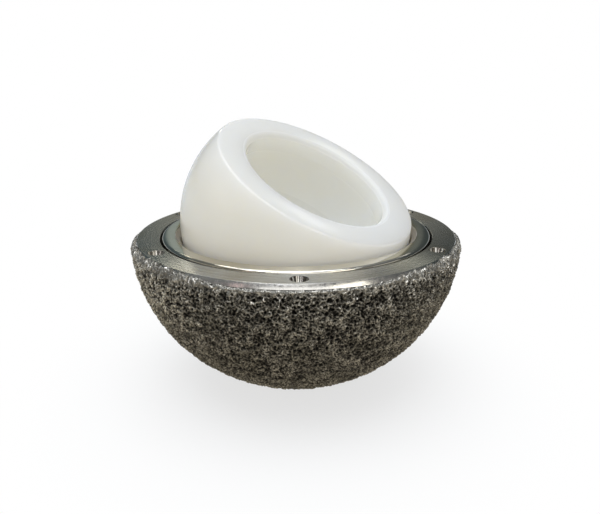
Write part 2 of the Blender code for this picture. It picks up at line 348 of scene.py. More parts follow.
bpy.ops.object.select_all(action="DESELECT")
bpy.ops.mesh.primitive_circle_add(
    vertices=96, radius=FLAG_RADIUS, fill_type="NGON", location=(0.0, 0.0, -FLAG_DROP)
)
flag = bpy.context.object
flag.name = "dark_flag"
flag_look, tree = bare_material("dark_flag")
distant = ramp(tree, length(tree, object_place(tree)), *FLAG_CHANGE)
glow_in(tree, blend_color(tree, distant, FLAG_NEAR, FLAG_FAR))
stage_for_reflections(flag, flag_look)
for name, values in CARDS.items():
    card(name, *values)
print(len(CARDS), "cards at", CARD_DISTANCE, "m")

# %% [markdown]
# Besides the sky, a large soft lamp overhead shapes the white ball and a weak one fills its front.
# Each lamp's power is given as the brightness it makes at the object, so moving a lamp doesn't change that.

# %% Lamps
LAMPS = {
    "overhead": ((-0.06, -0.06, 0.60), 0.55, 0.56, (0.95, 0.985, 1.04)),
    "front_fill": ((0.15, -0.65, 0.30), 0.40, 0.05, (1.0, 0.95, 0.88)),
}
WATTS_PER_LEVEL = math.pi ** 2

for name, (place, size, level, color) in LAMPS.items():
    data = bpy.data.lights.new(name, "AREA")
    data.shape = "SQUARE"
    data.size = size
    place = Vector(place)
    data.energy = level * WATTS_PER_LEVEL * place.length_squared
    data.color = color
    lamp = bpy.data.objects.new(name, data)
    lamp.location = place
    lamp.rotation_euler = place.to_track_quat("Z", "Y").to_euler()
    bpy.context.scene.collection.objects.link(lamp)
    print(name, round(data.energy, 2), "W")


# %% [markdown]
# Shell, liner and ball are turned parts, so each is made as on a lathe.
# Half of its section is drawn point by point with vertex extrudes, and the spin tool turns it round Z.
# A line of points gives exact radii, which a sculpted or bevelled cylinder would not.

# %% Lathe tools
AXIS = (0.0, 0.0, 1.0)
MERGE = 0.001 * MM


def arc(centre, radius, start, end, steps):
    """Points of a round arc in the (radius, height) plane, by angles in degrees from the radius axis."""
    points = []
    for step in range(steps + 1):
        angle = math.radians(start + (end - start) * step / steps)
        points.append((centre[0] + radius * math.cos(angle), centre[1] + radius * math.sin(angle)))
    return points


def draw_outline(name, outline, closed):
    """Start from a plane merged to one point, and extrude that point along the outline."""
    bpy.ops.object.select_all(action="DESELECT")
    bpy.ops.mesh.primitive_plane_add(size=MM)
    piece = bpy.context.object
    piece.name = name
    bpy.ops.object.mode_set(mode="EDIT")
    bpy.ops.mesh.select_all(action="SELECT")
    bpy.ops.mesh.merge(type="CENTER")
    here = Vector((0.0, 0.0, 0.0))
    there = Vector((outline[0][0], 0.0, outline[0][1]))
    bpy.ops.transform.translate(value=there - here)
    for radius, height in outline[1:]:
        here = there
        there = Vector((radius, 0.0, height))
        bpy.ops.mesh.extrude_vertices_move(TRANSFORM_OT_translate={"value": there - here})
    if closed:
        bpy.ops.object.mode_set(mode="OBJECT")
        piece.data.vertices[0].select = True
        bpy.ops.object.mode_set(mode="EDIT")
        bpy.ops.mesh.edge_face_add()
    return piece


def turn(name, outline, steps):
    """Spin an outline of (radius, height) points round Z into one closed solid with outward faces."""
    on_axis = outline[0][0] == 0.0 and outline[-1][0] == 0.0
    piece = draw_outline(name, outline, closed=not on_axis)
    bpy.ops.mesh.select_all(action="SELECT")
    bpy.ops.mesh.spin(steps=steps, angle=2.0 * math.pi, center=(0.0, 0.0, 0.0), axis=AXIS)
    bpy.ops.mesh.select_all(action="SELECT")
    bpy.ops.mesh.remove_doubles(threshold=MERGE)
    bpy.ops.mesh.normals_make_consistent(inside=False)
    bpy.ops.object.mode_set(mode="OBJECT")
    print(name, len(piece.data.polygons), "faces")
    return piece


def select_only(piece):
    """Make one piece the selected and active object, for the operators that work on those."""
    bpy.ops.object.select_all(action="DESELECT")
    piece.select_set(True)
    bpy.context.view_layer.objects.active = piece


def shade(piece, angle=30.0):
    """Smooth shading, with the corners sharper than the angle kept as edges."""
    select_only(piece)
    bpy.ops.object.shade_smooth_by_angle(angle=math.radians(angle))


def apply_modifiers(piece):
    """Make the modifiers of a piece part of its mesh, in their order."""
    select_only(piece)
    for modifier in list(piece.modifiers):
        bpy.ops.object.modifier_apply(modifier=modifier.name)


# %% [markdown]
# The titanium shell carries everything. Its rim has a flat turned face, a blasted slope and a taper inside.
# Its real edges are broken by a fraction of a millimetre, and that line of light tells that it is metal.
# So each corner of the outline gets a tiny flat, where the solid of the frame has a sharp edge.

# %% Shell
TURN_STEPS = 240
BORE_RADIUS = 24.72 * MM
RIM_FACE_RADIUS = 28.69 * MM
RIM_EDGE_RADIUS = shell_high.x
RIM_BEVEL_DOWN = 0.85 * MM
EDGE_BREAK = 0.06 * MM
BORE_CHAMFER = 0.15 * MM
TAPER_DEPTH = 8.0 * MM
TAPER_ANGLE = math.radians(5.0)
SHELL_RADIUS = 28.5 * MM
SHELL_OUTER_POLE = 27.25 * MM
SHELL_INNER_POLE = 22.9 * MM
POLE_HOLE_RADIUS = 3.5 * MM
POLE_HOLE_CHAMFER = 0.4 * MM
FOOT_RADIUS = 5.4 * MM
DOME_STEPS = 24


def dome_points(radius, depth, from_radius, to_height, steps):
    """Points of a flattened dome below the rim face, from near its pole up to a height under the rim."""
    start = math.acos(from_radius / radius)
    end = math.asin(to_height / depth)
    points = []
    for step in range(steps + 1):
        angle = start + (end - start) * step / steps
        points.append((radius * math.cos(angle), rim_height - depth * math.sin(angle)))
    return points


def bowl_points(edge_radius, edge_height, pole_height, inner_radius, steps):
    """Points of a round bowl floor, from its edge down to inner_radius from the axis."""
    drop = edge_height - pole_height
    radius = (edge_radius ** 2 + drop ** 2) / (2.0 * drop)
    start = -math.degrees(math.acos(edge_radius / radius))
    end = -math.degrees(math.acos(inner_radius / radius))
    return arc((0.0, pole_height + radius), radius, start, end, steps)


taper_end = BORE_RADIUS - (TAPER_DEPTH - BORE_CHAMFER) * math.tan(TAPER_ANGLE)
shell_outline = [
    (POLE_HOLE_RADIUS, POLE_HOLE_CHAMFER),
    (POLE_HOLE_RADIUS + POLE_HOLE_CHAMFER, 0.0),
    (FOOT_RADIUS - EDGE_BREAK, 0.0),
    (FOOT_RADIUS, EDGE_BREAK),
]
shell_outline += dome_points(SHELL_RADIUS, SHELL_OUTER_POLE, FOOT_RADIUS, RIM_BEVEL_DOWN, DOME_STEPS)
shell_outline += [
    (RIM_EDGE_RADIUS - EDGE_BREAK, rim_height - RIM_BEVEL_DOWN),
    (RIM_EDGE_RADIUS, rim_height - RIM_BEVEL_DOWN + EDGE_BREAK),
    (RIM_FACE_RADIUS + 0.5 * EDGE_BREAK, rim_height - EDGE_BREAK),
    (RIM_FACE_RADIUS - 0.5 * EDGE_BREAK, rim_height),
    (BORE_RADIUS + BORE_CHAMFER, rim_height),
    (BORE_RADIUS, rim_height - BORE_CHAMFER),
]
shell_outline += bowl_points(
    taper_end, rim_height - TAPER_DEPTH, rim_height - SHELL_INNER_POLE, POLE_HOLE_RADIUS, DOME_STEPS
)
shell = turn("turned_shell", shell_outline, TURN_STEPS)

# %% [markdown]
# Six blind dimples in the rim face take the pins of the tool that holds the cup.
# Each is a short tapered hole with a nearly flat floor, left by a drill.
# One cutter is turned at the rim, five copies are rotated round the axis, and a Boolean takes them all out.

# %% Dimples
DIMPLE_COUNT = 6
DIMPLE_TURN = math.radians(1.2)
DIMPLE_TOP_RADIUS = 1.42 * MM
DIMPLE_FLOOR_RADIUS = 0.95 * MM
DIMPLE_DEPTH = 1.3 * MM
DIMPLE_OVERSHOOT = 0.5 * MM
DIMPLE_STEPS = 64
DIMPLE_RING_RADIUS = (BORE_RADIUS + RIM_FACE_RADIUS) / 2.0

dimple_slope = (DIMPLE_TOP_RADIUS - DIMPLE_FLOOR_RADIUS) / DIMPLE_DEPTH
dimple_outline = [
    (0.0, -DIMPLE_DEPTH),
    (DIMPLE_FLOOR_RADIUS - EDGE_BREAK, -DIMPLE_DEPTH),
    (DIMPLE_FLOOR_RADIUS, EDGE_BREAK - DIMPLE_DEPTH),
    (DIMPLE_TOP_RADIUS, 0.0),
    (DIMPLE_TOP_RADIUS + DIMPLE_OVERSHOOT * dimple_slope, DIMPLE_OVERSHOOT),
    (0.0, DIMPLE_OVERSHOOT),
]
cutters = []
for index in range(DIMPLE_COUNT):
    angle = DIMPLE_TURN - math.pi / 2.0 + 2.0 * math.pi * index / DIMPLE_COUNT
    cutter = turn("dimple_cutter_" + str(index), dimple_outline, DIMPLE_STEPS)
    cutter.location = (DIMPLE_RING_RADIUS * math.cos(angle), DIMPLE_RING_RADIUS * math.sin(angle), rim_height)
    cutters.append(cutter)
for cutter in cutters:
    cut = shell.modifiers.new(cutter.name, "BOOLEAN")
    cut.operation = "DIFFERENCE"
    cut.solver = "EXACT"
    cut.object = cutter
apply_modifiers(shell)
for cutter in cutters:
    bpy.data.objects.remove(cutter)
shade(shell)
print("shell with dimples", len(shell.data.polygons), "faces")

# %% [markdown]
# The liner is a cobalt-chrome bowl pressed into the taper of the shell and polished like a mirror.
# It stands a hair above the rim, and its rounded outer corner carries the brightest line of the whole object.

# %% Liner
LINER_RADIUS = 24.35 * MM
LINER_CORNER = 0.5 * MM
LINER_POLE = 22.5 * MM
SOCKET_RADIUS = 21.3 * MM
LINER_LIP_OUT = 0.77 * MM
LINER_LIP_DOWN = 0.7 * MM
CORNER_STEPS = 10
SOCKET_STEPS = 32

liner_top = liner_high.z
liner_taper = TAPER_DEPTH + liner_top - rim_height
liner_taper_end = LINER_RADIUS - liner_taper * math.tan(TAPER_ANGLE)
liner_outline = bowl_points(
    liner_taper_end, rim_height - TAPER_DEPTH, rim_height - LINER_POLE, 0.0, DOME_STEPS
)[::-1]
liner_outline[0] = (0.0, rim_height - LINER_POLE)
corner_centre = (LINER_RADIUS - LINER_CORNER, liner_top - LINER_CORNER)
liner_outline += arc(corner_centre, LINER_CORNER, 0, 90, CORNER_STEPS)
mouth_drop = ball_centre.z - liner_top
lip_radius = math.sqrt(SOCKET_RADIUS ** 2 - mouth_drop ** 2) + LINER_LIP_OUT
liner_outline += [(lip_radius + EDGE_BREAK, liner_top), (lip_radius, liner_top - EDGE_BREAK)]
socket_start = -math.degrees(math.asin((mouth_drop + LINER_LIP_DOWN) / SOCKET_RADIUS))
liner_outline += arc((0.0, ball_centre.z), SOCKET_RADIUS, socket_start, -90.0, SOCKET_STEPS)
liner_outline[-1] = (0.0, ball_centre.z - SOCKET_RADIUS)
liner = turn("polished_liner", liner_outline, TURN_STEPS)
shade(liner)

# %% [markdown]
# The ball is turned from a bar of milky polyethylene, and its face and bore are cut on the same lathe.
# It is drawn upright about its own centre and then tipped into the pose that the joint has at rest.
# After that the turn and the move are applied, so the object itself stays at the origin.

# %% Plastic ball
BALL_RADIUS = 21.0 * MM
HEAD_BORE_RADIUS = 14.1 * MM
HEAD_CENTRE = 1.5 * MM
MOUTH_RADIUS = 13.35 * MM
FACE_CORNER = 0.54 * MM
MOUTH_ROUND_OUT = 0.75 * MM
MOUTH_ROUND_DEPTH = 1.7 * MM
MOUTH_ROUND_END = math.radians(62.0)
RIDGE_FLAT = 0.15 * MM
BALL_STEPS = 40

corner_centre_height = face_offset - FACE_CORNER
corner_centre_radius = math.sqrt((BALL_RADIUS - FACE_CORNER) ** 2 - corner_centre_height ** 2)
corner_start = math.degrees(math.asin(corner_centre_height / (BALL_RADIUS - FACE_CORNER)))
ball_outline = arc((0.0, 0.0), BALL_RADIUS, -90.0, corner_start, BALL_STEPS)
ball_outline[0] = (0.0, -BALL_RADIUS)
corner_centre = (corner_centre_radius, corner_centre_height)
ball_outline += arc(corner_centre, FACE_CORNER, corner_start, 90.0, CORNER_STEPS)[1:]
for step in range(CORNER_STEPS + 1):
    angle = MOUTH_ROUND_END * step / CORNER_STEPS
    radius = MOUTH_RADIUS + MOUTH_ROUND_OUT * (1.0 - math.sin(angle))
    ball_outline.append((radius, face_offset - MOUTH_ROUND_DEPTH * (1.0 - math.cos(angle))))
ridge_height = ball_outline[-1][1]
ball_outline.append((MOUTH_RADIUS, ridge_height - RIDGE_FLAT))
bore_start = math.degrees(math.acos(MOUTH_RADIUS / HEAD_BORE_RADIUS))
ball_outline += arc((0.0, HEAD_CENTRE), HEAD_BORE_RADIUS, bore_start, -90.0, SOCKET_STEPS)
ball_outline[-1] = (0.0, HEAD_CENTRE - HEAD_BORE_RADIUS)
insert = turn("plastic_ball", ball_outline, TURN_STEPS)

insert_tilt = math.acos(insert_axis.z)
insert_turn = math.atan2(insert_axis.y, insert_axis.x)
insert_place = Euler((0.0, insert_tilt, insert_turn), "XYZ")
insert.rotation_euler = insert_place
insert.location = ball_centre
select_only(insert)
bpy.ops.object.transform_apply(location=True, rotation=True, scale=True)
shade(insert)
print("ball tilted by", round(math.degrees(insert_tilt), 2), "degrees")

# %% [markdown]
# The foam is what the bone sees: a tangle of thin metal struts with black holes between them.
# A bump map would leave the outline smooth, so the struts are real relief on a very fine mesh.
# The layer is cut into ring bands, each with as many faces as a modest computer likes in one piece.

# %% Bands of the foam layer
CUP_RADIUS = 29.93 * MM
CUP_POLE = 28.68 * MM
COATING_INNER_RADIUS = 28.8 * MM
COATING_INNER_POLE = 27.55 * MM
COATING_CORNER = 0.35 * MM
COATING_CORNER_STEPS = 4
COATING_HOLE = FOOT_RADIUS + 0.3 * MM
FOAM_GRID = 0.128 * MM
BAND_FACES = 90000
TOP_RISE = 0.28 * MM
TOP_ROWS = 12
WALL_POINTS = 4
SEAM_OVERLAP = 2

coating_top = coating_high.z + TOP_RISE
first_angle = math.asin((rim_height - coating_top + COATING_CORNER) / CUP_POLE)
last_angle = math.acos(COATING_HOLE / CUP_RADIUS)
row_angle = FOAM_GRID / CUP_RADIUS


def skin_point(angle):
    """A point of the foam's outer dome, at an angle down from the rim plane."""
    return (CUP_RADIUS * math.cos(angle), rim_height - CUP_POLE * math.sin(angle))


def wall_point(angle):
    """A point of the foam's inner face, hidden against the shell."""
    return (COATING_INNER_RADIUS * math.cos(angle), rim_height - COATING_INNER_POLE * math.sin(angle))


def band_outline(start, end):
    """Section of one band between two angles; the first band also has the ragged top of the layer."""
    rows = round((end - start) / row_angle)
    outline = [skin_point(end + (start - end) * row / rows) for row in range(rows + 1)]
    if start == first_angle:
        corner = (skin_point(start)[0] - COATING_CORNER, coating_top - COATING_CORNER)
        outline += arc(corner, COATING_CORNER, 0.0, 90.0, COATING_CORNER_STEPS)[1:]
        across = round((corner[0] - COATING_INNER_RADIUS) / FOAM_GRID)
        for step in range(1, across + 1):
            outline.append((corner[0] - step * FOAM_GRID, coating_top))
    for step in range(WALL_POINTS + 1):
        outline.append(wall_point(start + (end - start) * step / WALL_POINTS))
    return outline


def stack_rings(name, outline, steps):
    """Extrude a circle from ring to ring along a closed outline of (radius, height) points."""
    bpy.ops.object.select_all(action="DESELECT")
    radius, height = outline[0]
    bpy.ops.mesh.primitive_circle_add(vertices=steps, radius=radius, location=(0.0, 0.0, height))
    piece = bpy.context.object
    piece.name = name
    bpy.ops.object.transform_apply(location=True)
    bpy.ops.object.mode_set(mode="EDIT")
    bpy.ops.mesh.select_all(action="SELECT")
    for next_radius, next_height in outline[1:] + outline[:1]:
        rise = (0.0, 0.0, next_height - height)
        bpy.ops.mesh.extrude_edges_move(TRANSFORM_OT_translate={"value": rise})
        bpy.ops.transform.resize(value=(next_radius / radius, next_radius / radius, 1.0))
        radius = next_radius
        height = next_height
    bpy.ops.mesh.select_all(action="SELECT")
    bpy.ops.mesh.remove_doubles(threshold=2.0 * MERGE)
    bpy.ops.mesh.normals_make_consistent(inside=False)
    bpy.ops.object.mode_set(mode="OBJECT")
    print(name, len(piece.data.polygons), "faces")
    return piece


bands = []
start = first_angle
while start < last_angle - row_angle:
    circle_steps = round(2.0 * math.pi * skin_point(start)[0] / FOAM_GRID)
    rows = BAND_FACES // circle_steps - (TOP_ROWS if start == first_angle else 0) - WALL_POINTS
    end = min(start + rows * row_angle, last_angle)
    name = "foam_band_" + str(len(bands) + 1)
    bands.append(stack_rings(name, band_outline(start, end), circle_steps))
    start = end if end == last_angle else end - SEAM_OVERLAP * row_angle
print(len(bands), "bands")

# %% [markdown]
# Geometry nodes push each point of a band inwards where a pore is.
# Two Voronoi patterns in space make two tangles of struts, bent by noise so that no side is straight.
# A point goes only as deep as the shallower tangle lets it, and lumps and rubble from noise are added.
# The depth is stored on the points, so the material can find the pores.

# %% Depth of the pores
NETWORKS = (
    {"size": 0.72 * MM, "sunk": 0.00 * MM, "deep": 0.95 * MM, "shift": 0.0},
    {"size": 0.54 * MM, "sunk": 0.15 * MM, "deep": 0.80 * MM, "shift": 0.137},
)
STRUT = 0.06
PORE = 0.23
FOAM_DEPTH = 0.95 * MM
LUMP_SIZE = 1.3 * MM
LUMP_DEPTH = 0.26 * MM
RUBBLE_SIZE = 0.42 * MM
RUBBLE_DEPTH = 0.16 * MM
BEND_SIZE = 0.42 * MM
BEND = 0.45 * MM
NOISE_MIDDLE = (0.5, 0.5, 0.5)


def new_group(name, kind, inputs, outputs):
    """An empty node group with named sockets, and its two end nodes."""
    group = bpy.data.node_groups.new(name, kind)
    for label, (socket_type, value) in inputs.items():
        socket = group.interface.new_socket(label, in_out="INPUT", socket_type=socket_type)
        if value is not None:
            socket.default_value = value
    for label, socket_type in outputs.items():
        group.interface.new_socket(label, in_out="OUTPUT", socket_type=socket_type)
    return group, group.nodes.new("NodeGroupInput"), group.nodes.new("NodeGroupOutput")


group, start, end = new_group(
    "foam_relief",
    "GeometryNodeTree",
    {"Geometry": ("NodeSocketGeometry", None)},
    {"Geometry": "NodeSocketGeometry"},
)
place = put(group, "GeometryNodeInputPosition").outputs[0]
bend = vector_step(group, "SUBTRACT", noise(group, place, BEND_SIZE, 1.0)["Color"], NOISE_MIDDLE)
bent_place = vector_step(group, "ADD", place, vector_step(group, "SCALE", bend, scale=BEND))


def network(size, sunk, deep, shift):
    """Depth of one tangle of struts: sunk at a strut, and deeper with the distance from it."""
    moved = vector_step(group, "ADD", bent_place, (shift, shift, shift))
    inputs = {"Vector": moved, "Scale": 1.0 / size, "Randomness": 1.0}
    walls = put(group, "ShaderNodeTexVoronoi", inputs, feature="DISTANCE_TO_EDGE")
    return ramp(group, walls.outputs["Distance"], STRUT, PORE, sunk, sunk + deep)


inward = calculate(group, "MINIMUM", *[network(**layer) for layer in NETWORKS])
lump = ramp(group, noise(group, place, LUMP_SIZE, 3.0)["Fac"], 0.32, 0.68)
inward = calculate(group, "MULTIPLY_ADD", lump, LUMP_DEPTH, inward)
rubble = ramp(group, noise(group, bent_place, RUBBLE_SIZE, 1.0)["Fac"], 0.35, 0.65)
inward = calculate(group, "MULTIPLY_ADD", rubble, RUBBLE_DEPTH, inward)
inward = calculate(group, "MINIMUM", inward, FOAM_DEPTH)
depth_share = calculate(group, "DIVIDE", inward, FOAM_DEPTH)
print(len(NETWORKS), "tangles of struts, pores up to", round(FOAM_DEPTH / MM, 2), "mm deep")

# %% [markdown]
# A pore goes straight into the layer, so its direction is the dome's, or straight down on the top edge.
# The hidden inner face stays smooth, so the relief fades out with the distance from the dome's centre.
# Points that lie deep also lean sideways a little, which undercuts the struts as in a real foam.

# %% Direction of the relief
FLATTENING = CUP_RADIUS / CUP_POLE
TOP_BLEND = 0.02 * MM
TOP_SHARE = 0.3
SKIN_BLEND = (0.35 * MM, 0.75 * MM)
LEAN = 0.22 * MM
LEAN_SIZE = 0.4 * MM


def axis_distance(tree, vector):
    """Distance from the Z axis, the X, Y and Z sockets, and the vector without its height."""
    parts = put(tree, "ShaderNodeSeparateXYZ", {0: vector}).outputs
    flat = put(tree, "ShaderNodeCombineXYZ", {"X": parts["X"], "Y": parts["Y"]}).outputs[0]
    return length(tree, flat), parts, flat


reach, parts, flat = axis_distance(group, place)
below_rim = calculate(group, "SUBTRACT", parts["Z"], rim_height)
stretched = product(group, below_rim, FLATTENING ** 2)
outward = put(group, "ShaderNodeCombineXYZ", {"X": parts["X"], "Y": parts["Y"], "Z": stretched}).outputs[0]
outward = vector_step(group, "NORMALIZE", outward)
on_top = ramp(group, parts["Z"], coating_top - COATING_CORNER, coating_top - TOP_BLEND)
facing = put(group, "ShaderNodeMix", {0: on_top, 4: outward, 5: AXIS}, data_type="VECTOR").outputs[1]

drop = product(group, below_rim, FLATTENING)
squares = calculate(group, "MULTIPLY_ADD", drop, drop, product(group, reach, reach))
from_centre = calculate(group, "SQRT", squares)
skin_start, skin_end = SKIN_BLEND
on_skin = ramp(group, from_centre, COATING_INNER_RADIUS + skin_start, COATING_INNER_RADIUS + skin_end)
inward = product(group, inward, on_skin, ramp(group, on_top, 0.0, 1.0, 1.0, TOP_SHARE))
move = vector_step(group, "SCALE", facing, scale=product(group, inward, -1.0))

lean = vector_step(group, "SUBTRACT", noise(group, place, LEAN_SIZE, 0.0)["Color"], NOISE_MIDDLE)
lean = vector_step(group, "SCALE", lean, scale=product(group, depth_share, LEAN, on_skin))
move = vector_step(group, "ADD", move, lean)
print("dome", round(FLATTENING, 3), "times as wide as it is deep")

# %% [markdown]
# The foam isn't trimmed straight at the rim: crumbs of it stick up over the bevel, most of all at the sides.
# Two more moves do that, both only near the outer edge of the top. One raises crumbs where noise is high.
# The other leans the whole edge in over the bevel.

# %% Ragged top edge
CRUMB_SIZE = 0.6 * MM
CRUMB_HEIGHT = 0.95 * MM
CRUMB_LEAN = 1.6
CRUMB_REACH = (29.17 * MM, 29.32 * MM)
CRUMB_SIDES = (8.0 * MM, 17.0 * MM, 0.25, 1.0)
CRUMB_FRONT = (2.0 * MM, -4.0 * MM)
CRUMB_GROWTH = (-3.0 * MM, -12.0 * MM, 0.55, 1.0)
COVER_IN = 0.38 * MM
COVER_UP = 0.34 * MM
COVER_REACH = (29.0 * MM, 29.3 * MM)
COVER_SIDES = (13.0 * MM, 18.0 * MM)
COVER_FRONT = (6.0 * MM, 1.0 * MM)

to_side = calculate(group, "ABSOLUTE", parts["X"])
crumb_noise = noise(group, place, CRUMB_SIZE, 2.0)
crumb_zone = product(
    group,
    on_top,
    ramp(group, reach, *CRUMB_REACH),
    ramp(group, to_side, *CRUMB_SIDES),
    ramp(group, parts["Y"], *CRUMB_FRONT),
    ramp(group, parts["Y"], *CRUMB_GROWTH),
)
crumb = product(group, ramp(group, crumb_noise["Fac"], 0.35, 0.65), crumb_zone, CRUMB_HEIGHT)
crumb_lean = vector_step(group, "SUBTRACT", crumb_noise["Color"], (0.5, 0.5, 0.0))
crumb_move = vector_step(group, "SCALE", crumb_lean, scale=product(group, crumb, CRUMB_LEAN))
move = vector_step(group, "ADD", move, crumb_move)

cover = product(
    group,
    on_top,
    ramp(group, to_side, *COVER_SIDES),
    ramp(group, parts["Y"], *COVER_FRONT),
    ramp(group, reach, *COVER_REACH),
)
cover_move = vector_step(group, "SCALE", vector_step(group, "NORMALIZE", flat), scale=-COVER_IN)
cover_move = vector_step(group, "ADD", cover_move, (0.0, 0.0, COVER_UP))
move = vector_step(group, "ADD", move, vector_step(group, "SCALE", cover_move, scale=cover))

stored = put(
    group,
    "GeometryNodeStoreNamedAttribute",
    {"Geometry": start.outputs[0], "Name": "pit", "Value": depth_share},
    data_type="FLOAT",
    domain="POINT",
)
shaped = put(group, "GeometryNodeSetPosition", {"Geometry": stored.outputs[0], "Offset": move})
group.links.new(shaped.outputs[0], end.inputs[0])
print(len(group.nodes), "nodes in the relief")

# %% Apply the relief
for band in bands:
    relief = band.modifiers.new("relief", "NODES")
    relief.node_group = group
    apply_modifiers(band)
    band.data.shade_smooth()
    print(band.name, len(band.data.vertices), "points")

# %% [markdown]
# All turned faces carry fine circular tool marks, so one node group draws them for every material.
# It measures the distance from the axis of the piece, and noise along that distance gives the rings.
# A little of the angle is mixed in, so that no ring runs all the way round at one strength.

# %% Group: turning marks
marks_group, start, end = new_group(
    "turning_marks",
    "ShaderNodeTree",
    {
        "Vector": ("NodeSocketVector", None),
        "Spacing": ("NodeSocketFloat", 0.1 * MM),
        "Breaks": ("NodeSocketFloat", 2.0),
    },
    {"Marks": "NodeSocketFloat"},
)
reach, parts, flat = axis_distance(marks_group, start.outputs["Vector"])
ring = calculate(marks_group, "DIVIDE", reach, start.outputs["Spacing"])
climb = calculate(marks_group, "DIVIDE", parts["Z"], start.outputs["Spacing"])
around = vector_step(marks_group, "NORMALIZE", flat)
around = vector_step(marks_group, "SCALE", around, scale=start.outputs["Breaks"])
around = put(marks_group, "ShaderNodeSeparateXYZ", {0: around}).outputs
seed_parts = {"X": ring, "Y": around["X"], "Z": around["Y"]}
seed_place = put(marks_group, "ShaderNodeCombineXYZ", seed_parts).outputs[0]
inputs = {"Vector": seed_place, "W": climb, "Scale": 1.0, "Detail": 2.0, "Roughness": 0.6}
rings = put(marks_group, "ShaderNodeTexNoise", inputs, noise_dimensions="4D")
marks_group.links.new(rings.outputs["Fac"], end.inputs["Marks"])
print(marks_group.name, len(marks_group.nodes), "nodes")

# %% Helpers for materials
MARK_SPAN = (0.3, 0.7)
BLACK = (0.0, 0.0, 0.0)


def new_material(name):
    """A material with a Principled shader, its tree, the shader and the place on the piece."""
    made = bpy.data.materials.new(name)
    made.use_nodes = True
    tree = made.node_tree
    return made, tree, tree.nodes["Principled BSDF"], object_place(tree)


def marks_in(tree, vector, spacing, breaks):
    """Turning marks with one spacing."""
    inputs = {"Vector": vector, "Spacing": spacing, "Breaks": breaks}
    return put(tree, "ShaderNodeGroup", inputs, node_tree=marks_group).outputs["Marks"]


def blend_number(tree, factor, first, second):
    """Mix two numbers."""
    return put(tree, "ShaderNodeMix", {0: factor, 2: first, 3: second}, data_type="FLOAT").outputs[0]


def bump_in(tree, height, strength, distance, below=None, invert=False):
    """Relief too fine for the mesh, on top of another bump where one is given."""
    inputs = {"Height": height, "Strength": strength, "Distance": distance}
    if below is not None:
        inputs["Normal"] = below
    return put(tree, "ShaderNodeBump", inputs, invert=invert).outputs[0]


def paint_reflection_sectors(tree, parts, tone, sectors):
    """Paint sectors of a face with another tone, as painted reflection, each by its middle and half width in
    degrees from the front.
    """
    turned = calculate(tree, "ARCTAN2", parts["X"], product(tree, parts["Y"], -1.0))
    for middle, half_width, reflection_tone in sectors:
        off_middle = calculate(tree, "ABSOLUTE", calculate(tree, "SUBTRACT", turned, math.radians(middle)))
        tone = blend_color(tree, ramp(tree, off_middle, math.radians(half_width), 0.0), tone, reflection_tone)
    return tone


# %% [markdown]
# The rim is turned, and its fine rings smear each reflection across them, so light gathers into a fan.
# An anisotropic shader does that, with a tangent that runs round the axis. The blasted slope has no rings.
# Handling leaves soft clouds of another tone, and a single grey would look like paint. Sectors of painted
# reflection add bright and dark fans to the face.
# The dimples are drilled: a mask by distance paints their floor dark as painted shade, and their walls dark
# with bright streaks, as painted shade and painted highlight.

# %% Turned titanium
RIM_TONES = ((0.432, 0.435, 0.424), (0.459, 0.461, 0.450))
RIM_CLOUD = (0.40, 0.385, 0.345)
RIM_PAINTED_REFLECTIONS = (
    (-18.0, 13.0, (0.35, 0.335, 0.295)),
    (17.0, 14.0, (0.60, 0.585, 0.535)),
    (44.0, 20.0, (1.00, 0.98, 0.88)),
)
BEVEL_TONE = (0.70, 0.69, 0.665)
BEVEL_START = (RIM_FACE_RADIUS - 0.05 * MM, RIM_FACE_RADIUS + 0.08 * MM)
DIMPLE_FLOOR_PAINTED_SHADE = (0.17, 0.16, 0.14)
DIMPLE_WALL_PAINTED_SHADE_AND_STREAKS = ((0.13, 0.12, 0.105), (0.85, 0.84, 0.80))
DIMPLE_WALL_END = DIMPLE_DEPTH - 0.15 * MM
DIMPLE_RIM = 0.05 * MM

titanium, tree, shader, place = new_material("turned_titanium_look")
marks = marks_in(tree, place, 0.11 * MM, 1.6)
reach, parts = axis_distance(tree, place)[:2]
mottle = noise(tree, place, 0.5 * MM, 4.0)["Fac"]
cloud = noise(tree, place, 7.0 * MM, 3.0)["Fac"]
on_bevel = ramp(tree, reach, *BEVEL_START)
tone = blend_color(tree, ramp(tree, marks, *MARK_SPAN), *RIM_TONES)
tone = blend_color(tree, ramp(tree, cloud, 0.45, 0.7), tone, RIM_CLOUD)
# Painted reflection: bright and dark sectors are painted on the rim face.
tone = paint_reflection_sectors(tree, parts, tone, RIM_PAINTED_REFLECTIONS)
tone = blend_color(tree, on_bevel, tone, BEVEL_TONE)
face_rough = ramp(tree, marks, *MARK_SPAN, 0.25, 0.28)
rough = blend_number(tree, on_bevel, face_rough, ramp(tree, mottle, *MARK_SPAN, 0.13, 0.25))

turned = calculate(tree, "ARCTAN2", parts["Y"], parts["X"])
turned = calculate(tree, "ADD", turned, math.pi / 2.0 - DIMPLE_TURN)
turned = calculate(tree, "WRAP", turned, math.pi / DIMPLE_COUNT, -math.pi / DIMPLE_COUNT)
beside = product(tree, reach, calculate(tree, "SINE", turned))
along = product(tree, reach, calculate(tree, "COSINE", turned))
along = calculate(tree, "SUBTRACT", along, DIMPLE_RING_RADIUS)
hole_place = put(tree, "ShaderNodeCombineXYZ", {"X": along, "Y": beside}).outputs[0]
below_face = calculate(tree, "SUBTRACT", rim_height, parts["Z"])
in_hole = ramp(tree, length(tree, hole_place), DIMPLE_TOP_RADIUS + DIMPLE_RIM, DIMPLE_TOP_RADIUS)
in_hole = product(tree, in_hole, ramp(tree, below_face, 0.02 * MM, 0.10 * MM))
on_wall = product(tree, in_hole, ramp(tree, below_face, DIMPLE_DEPTH, DIMPLE_WALL_END))
round_hole = vector_step(tree, "NORMALIZE", hole_place)
